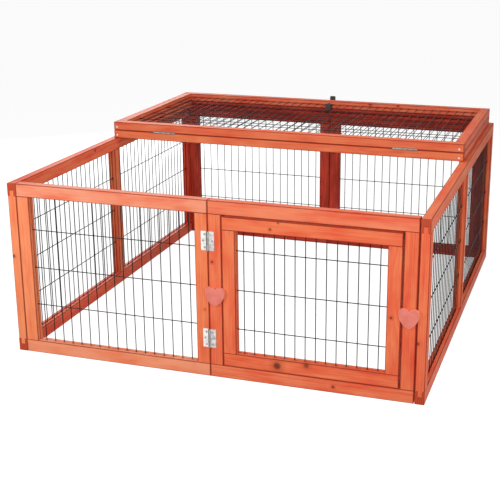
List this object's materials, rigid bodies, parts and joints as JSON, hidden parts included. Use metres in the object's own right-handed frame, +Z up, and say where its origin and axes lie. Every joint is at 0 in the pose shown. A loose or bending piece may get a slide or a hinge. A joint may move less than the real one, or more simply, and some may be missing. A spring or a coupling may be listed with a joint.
{
  "type": "rabbit run",
  "caption": "Outdoor rabbit run of orange-glazed pine frames round welded mesh, with a lift-out door held by heart turn-buttons and a hinged mesh cover folded half back.",
  "frame": {"origin": "on the ground under the middle of the run's outer box, hearts and cover latch included", "axes": "+Z up, -Y is the front with the door and the heart turn-buttons, +X to the right seen from the front"},
  "size_m": [1.09, 1.1736, 0.5191],
  "materials": {
    "glazed_pine": "orange translucent glaze on planed pine, satin",
    "mesh_wire": "dark coated welded wire, satin",
    "hinge_zinc": "bright zinc plate",
    "heart_paint": "salmon paint on wood, satin",
    "black_plastic": "black moulded nylon, satin"
  },
  "bodies": {
    "root": {"left_side_bottom_rail": "glazed_pine", "left_side_top_rail": "glazed_pine", "left_side_front_stile": "glazed_pine", "left_side_middle_stile": "glazed_pine", "left_side_rear_stile": "glazed_pine", "left_side_mesh": "mesh_wire", "right_side_bottom_rail": "glazed_pine", "right_side_top_rail": "glazed_pine", "right_side_front_stile": "glazed_pine", "right_side_middle_stile": "glazed_pine", "right_side_rear_stile": "glazed_pine", "right_side_mesh": "mesh_wire", "front_left_bottom_rail": "glazed_pine", "front_left_top_rail": "glazed_pine", "front_left_left_stile": "glazed_pine", "front_left_right_stile": "glazed_pine", "front_left_mesh": "mesh_wire", "front_right_bottom_rail": "glazed_pine", "front_right_top_rail": "glazed_pine", "front_right_left_stile": "glazed_pine", "front_right_right_stile": "glazed_pine", "back_left_bottom_rail": "glazed_pine", "back_left_top_rail": "glazed_pine", "back_left_left_stile": "glazed_pine", "back_left_right_stile": "glazed_pine", "back_left_mesh": "mesh_wire", "back_right_bottom_rail": "glazed_pine", "back_right_top_rail": "glazed_pine", "back_right_left_stile": "glazed_pine", "back_right_right_stile": "glazed_pine", "back_right_mesh": "mesh_wire", "heart_screw_left": "hinge_zinc", "heart_screw_right": "hinge_zinc", "front_hinge_lower_leaf_left": "hinge_zinc", "front_hinge_lower_leaf_right": "hinge_zinc", "front_hinge_upper_leaf_left": "hinge_zinc", "front_hinge_upper_leaf_right": "hinge_zinc", "cover_rear_hinge_rail": "glazed_pine", "cover_rear_back_rail": "glazed_pine", "cover_rear_left_rail": "glazed_pine", "cover_rear_right_rail": "glazed_pine", "cover_rear_mesh": "mesh_wire", "cover_hinge_left_leaf_rear": "hinge_zinc", "cover_hinge_right_leaf_rear": "hinge_zinc"},
    "door": {"door_bottom_rail": "glazed_pine", "door_top_rail": "glazed_pine", "door_left_stile": "glazed_pine", "door_right_stile": "glazed_pine", "door_mesh": "mesh_wire"},
    "heart_left": {"heart_button_left": "heart_paint"},
    "heart_right": {"heart_button_right": "heart_paint"},
    "cover_flap": {"cover_flap_hinge_rail": "glazed_pine", "cover_flap_free_rail": "glazed_pine", "cover_flap_left_rail": "glazed_pine", "cover_flap_right_rail": "glazed_pine", "cover_flap_mesh": "mesh_wire", "cover_hinge_left_leaf_flap": "hinge_zinc", "cover_hinge_right_leaf_flap": "hinge_zinc"},
    "cover_latch": {"cover_latch_hook": "black_plastic", "cover_latch_knob": "black_plastic"}
  },
  "joints": [
    {"name": "door_slide", "type": "slide", "parent": "root", "child": "door", "axis": [0, 1, 0], "range_m": [0, 0.25]},
    {"name": "heart_left_turn", "type": "hinge", "parent": "root", "child": "heart_left", "pos_m": [0.0196, -0.5785, 0.205], "axis": [0, 1, 0], "continuous": true},
    {"name": "heart_right_turn", "type": "hinge", "parent": "root", "child": "heart_right", "pos_m": [0.5018, -0.5785, 0.205], "axis": [0, 1, 0], "continuous": true},
    {"name": "cover_fold", "type": "hinge", "parent": "root", "child": "cover_flap", "pos_m": [0, 0.0015, 0.4847], "axis": [1, 0, 0], "range_deg": [0, 180]},
    {"name": "cover_latch_turn", "type": "hinge", "parent": "cover_flap", "child": "cover_latch", "pos_m": [0, 0.5675, 0.4931], "axis": [0, 1, 0], "continuous": true}
  ]
}
